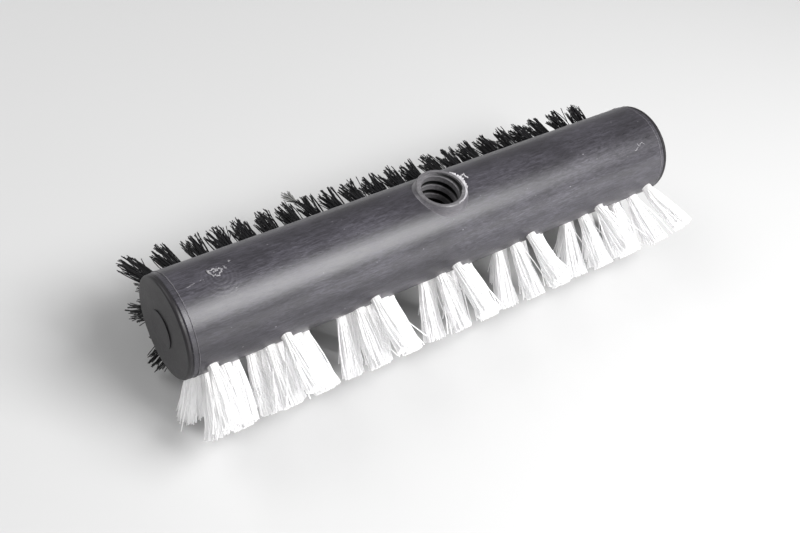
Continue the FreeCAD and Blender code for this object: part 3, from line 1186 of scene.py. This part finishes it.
@dataclass
class HandleSocket:
    """The threaded socket, the fillet that blends it into the tube, and the flash on its right edge.

    The fillet reaches further at the front. The flash has a reach, in millimetres, at each angle, in degrees
    from the right end. The flake's route is in millimetres.
    """

    sizes: HeadSizes
    fillet_reach: float = 1.3 * MM
    fillet_front_reach: float = 0.5 * MM
    fillet_power: float = 1.35
    fillet_drop: float = 0.25 * MM
    fillet_under: float = 0.6 * MM
    fillet_overlap: float = 0.15 * MM
    fillet_sink: float = 0.02 * MM
    fillet_steps: int = 96
    flash_steps: int = 60
    flash_angles: tuple[float, ...] = (-80, -60, -45, -25, -8, 5, 15, 35)
    flash_reach: tuple[float, ...] = (0.1, 0.2, 0.35, 0.6, 0.7, 0.9, 0.5, 0.1)
    flash_thickness: float = 0.25 * MM
    flash_curl: float = 0.25 * MM
    flash_slope: float = 0.25
    flash_overlap: float = 0.5 * MM
    flash_land: float = 0.4 * MM
    flash_sink: float = 0.1 * MM
    flake_thickness: float = 1.0 * MM
    flake_route: tuple[tuple[float, float, float], ...] = (
        (11.9, 1.9, 22.9), (12.4, 2.3, 23.8), (12.9, 1.6, 24.0), (13.6, 1.0, 23.2), (14.3, 1.3, 22.4)
    )

    def build(self) -> None:
        """Dress the socket and add its fillet and flash."""
        dress(frame["nodes"]["handle_socket"], SOCKET_PLASTIC.material())
        self.fillet(COLLAR_PLASTIC.material())
        self.flash()
        torn = TornWork(8)
        route = np.array(self.flake_route) * MM
        up = np.tile([0.0, 0.3, 1.0], (len(route), 1))
        torn.piece("socket_flake", [torn.lay(route, up, self.flake_thickness)], "socket", FLASH_PLASTIC)

    def fillet(self, material: bpy.types.Material) -> None:
        """Spin a small cross-section round the socket and drape it from the collar's edge onto the skin."""
        start_clean()
        bpy.ops.mesh.primitive_circle_add(
            vertices=20, radius=0.5, location=(1.5, 0, 0), rotation=(math.pi / 2, 0, 0)
        )
        ring = settle(named(bpy.context.object, "socket_fillet"))
        bpy.ops.object.mode_set(mode="EDIT")
        bpy.ops.mesh.select_all(action="SELECT")
        bpy.ops.mesh.spin(steps=self.fillet_steps, angle=math.tau, center=(0, 0, 0), axis=(0, 0, 1))
        bpy.ops.mesh.select_all(action="SELECT")
        bpy.ops.mesh.remove_doubles(threshold=SPUN_MERGE)
        bpy.ops.mesh.normals_make_consistent(inside=False)
        bpy.ops.object.mode_set(mode="OBJECT")
        for vert in ring.data.vertices:
            vert.co = self.draped(vert.co)
        take(ring)
        bpy.ops.object.shade_smooth_by_angle(angle=math.radians(50))
        add_to_head(ring, material)

    def draped(self, point: Vector) -> Vector:
        """Carry a point of the spun ring to its place in the fillet.

        Args:
            point: a place from 1 to 2 from the axis.

        Returns:
            The place on the head.
        """
        across = min(1.0, max(0.0, math.hypot(point.x, point.y) - 1.0))
        angle = math.atan2(point.y, point.x)
        reach = self.fillet_reach + self.fillet_front_reach * max(0.0, -math.sin(angle)) ** 2
        radius = self.sizes.socket_radius - self.fillet_overlap + across * reach
        place = self.sizes.socket_centre + Vector((math.cos(angle), math.sin(angle), 0)) * radius
        skin = math.sqrt(self.sizes.radius ** 2 - place.y ** 2)
        rise = (self.sizes.socket_top - self.fillet_drop - skin) * (1 - across) ** self.fillet_power
        upper = point.z > -SPUN_TOLERANCE
        place.z = skin + rise - self.fillet_sink if upper else skin - self.fillet_under
        return place

    def flash(self) -> None:
        """A ragged ribbon of torn plastic that curls out from the collar's right edge."""
        rng = np.random.default_rng([SEED, 5])
        start_clean()
        bpy.ops.mesh.primitive_grid_add(x_subdivisions=self.flash_steps, y_subdivisions=3, size=2)
        ribbon = settle(named(bpy.context.object, "socket_flash"))
        points, _ = mesh_arrays(ribbon)
        steps = np.round((points[:, 0] + 1) / 2 * self.flash_steps).astype(int)
        rag = 0.55 + 0.9 * rng.random(self.flash_steps + 1)
        curl = self.flash_curl * rng.normal(0, 1, self.flash_steps + 1)
        first, last = self.flash_angles[0], self.flash_angles[-1]
        for vert, step, level in zip(ribbon.data.vertices, steps, (points[:, 1] + 1) / 2):
            degrees = first + (last - first) * step / self.flash_steps
            reach = float(np.interp(degrees, self.flash_angles, self.flash_reach)) * MM * rag[step]
            out = self.sizes.socket_radius - self.flash_overlap + level * (reach + self.flash_land)
            turn = math.radians(degrees)
            up = self.sizes.socket_top - self.flash_sink + level * (curl[step] + self.flash_slope * reach)
            vert.co = self.sizes.socket_centre + Vector((out * math.cos(turn), out * math.sin(turn), up))
        take(ribbon)
        thick = ribbon.modifiers.new("thickness", "SOLIDIFY")
        thick.thickness = self.flash_thickness
        bpy.ops.object.modifier_apply(modifier=thick.name)
        bpy.ops.object.shade_smooth_by_angle(angle=math.radians(40))
        add_to_head(ribbon, FLASH_PLASTIC.material())


@dataclass
class Anchors:
    """The wire anchors at the feet of the tufts."""

    def build(self) -> None:
        """Dress every row of anchors."""
        material = ANCHOR_WIRE.material()
        for side in Side:
            for row in range(1, ROW_COUNT + 1):
                dress(frame["nodes"][f"{side.value}_anchors_row_{row}"], material)


# ---------------------------------------------------------------- studio


@dataclass(frozen=True)
class SoftBox:
    """One large soft light, placed in tube radii from the middle of the tube."""

    name: str
    place: tuple[float, float, float]
    size: tuple[float, float]
    power: float
    gloss: float = 1.0


@dataclass
class Studio:
    """The floor, the lights and the camera; ground is the height that the lowest tuft tip stands on."""

    sizes: HeadSizes
    ground: float
    aim: tuple[float, float, float] = (-0.7553, -0.2196, -0.6397)
    azimuth: float = -45.89
    elevation: float = 47.38
    roll: float = 15.41
    distance: float = 21.329
    lens: float = 47.44
    sensor: float = 36.0
    sky: float = 0.29
    lights: tuple[SoftBox, ...] = (
        SoftBox("key_softbox", (11.5, -21.0, 31.0), (24.0, 24.0), 11.0),
        SoftBox("back_softbox", (-22.0, 24.0, 30.0), (30.0, 30.0), 3.5, gloss=0.0),
        SoftBox("low_front_softbox", (16.0, -36.0, 3.0), (40.0, 12.0), 2.4, gloss=0.0),
    )

    def build(self) -> None:
        """Set the whole studio up."""
        self.floor()
        self.surroundings()
        for light in self.lights:
            self.softbox(light)
        self.camera()

    def floor(self) -> None:
        """A wide floor that the lowest tufts stand on."""
        start_clean()
        bpy.ops.mesh.primitive_plane_add(size=300 * self.sizes.radius, location=(0, 0, self.ground))
        floor = settle(named(bpy.context.object, "studio_floor"))
        dress(floor, PaleFloor().material())
        floor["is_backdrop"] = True

    def surroundings(self) -> None:
        """An even pale sky."""
        world = bpy.data.worlds.new("studio_sky")
        world.use_nodes = True
        sky = world.node_tree.nodes["Background"]
        sky.inputs["Color"].default_value = (1.0, 1.0, 1.0, 1.0)
        sky.inputs["Strength"].default_value = self.sky
        bpy.context.scene.world = world
        bpy.context.scene.view_settings.view_transform = "Standard"

    def softbox(self, light: SoftBox) -> None:
        """Hang one soft light, turned to face the tube."""
        start_clean()
        place = Vector(light.place) * self.sizes.radius
        bpy.ops.object.light_add(type="AREA", location=place)
        lamp = bpy.context.object
        lamp.name = light.name
        lamp.rotation_euler = place.to_track_quat("Z", "Y").to_euler()
        lamp.data.shape = "RECTANGLE"
        lamp.data.size, lamp.data.size_y = (side * self.sizes.radius for side in light.size)
        lamp.data.energy = light.power
        lamp.data.specular_factor = light.gloss

    def camera(self) -> None:
        """Stand the camera in front of the tube, turned a little about its own line of sight."""
        start_clean()
        bpy.ops.object.camera_add()
        camera = bpy.context.object
        camera.name = "studio_camera"
        azimuth, elevation = math.radians(self.azimuth), math.radians(self.elevation)
        back = Vector((
            math.sin(azimuth) * math.cos(elevation),
            -math.cos(azimuth) * math.cos(elevation),
            math.sin(elevation),
        ))
        camera.location = (Vector(self.aim) + back * self.distance) * self.sizes.radius
        turn = back.to_track_quat("Z", "Y") @ Quaternion(Z_AXIS, math.radians(self.roll))
        camera.rotation_euler = turn.to_euler()
        camera.data.lens = self.lens
        camera.data.sensor_width = self.sensor
        camera.data.dof.use_dof = False
        camera.data.clip_start = self.sizes.radius / 10
        bpy.context.scene.camera = camera


def main() -> None:
    """Build every sub-assembly in order."""
    logging.basicConfig(level=logging.INFO, format="%(name)s: %(message)s")
    sizes = HeadSizes.from_frame()
    TubeBody(sizes).build()
    EndCaps().build()
    HandleSocket(sizes).build()
    Anchors().build()
    white = BristleStyle(count=140, diameter=0.5 * MM, tip_share=0.8, splay=1.05, clumps=12, clump_pull=0.2)
    black = BristleStyle(
        count=66, diameter=0.4 * MM, tip_share=0.75, bow=0.7 * MM, cut_scatter=1.3 * MM,
        splay_scatter=0.25 * MM, splay=1.25, clumps=12, clump_pull=0.6, stray_share=0.08, stray_bend=1.6 * MM,
    )
    BristleSide(Side.WHITE, white, WHITE_FILAMENT, sizes).build()
    BristleSide(Side.BLACK, black, BLACK_FILAMENT, sizes).build()
    FrayedClump(sizes).build()
    for side in Side:
        HoleLips(side, sizes).build()
    Studio(sizes, ground=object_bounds()[0][2]).build()


if __name__ == "__main__":
    main()
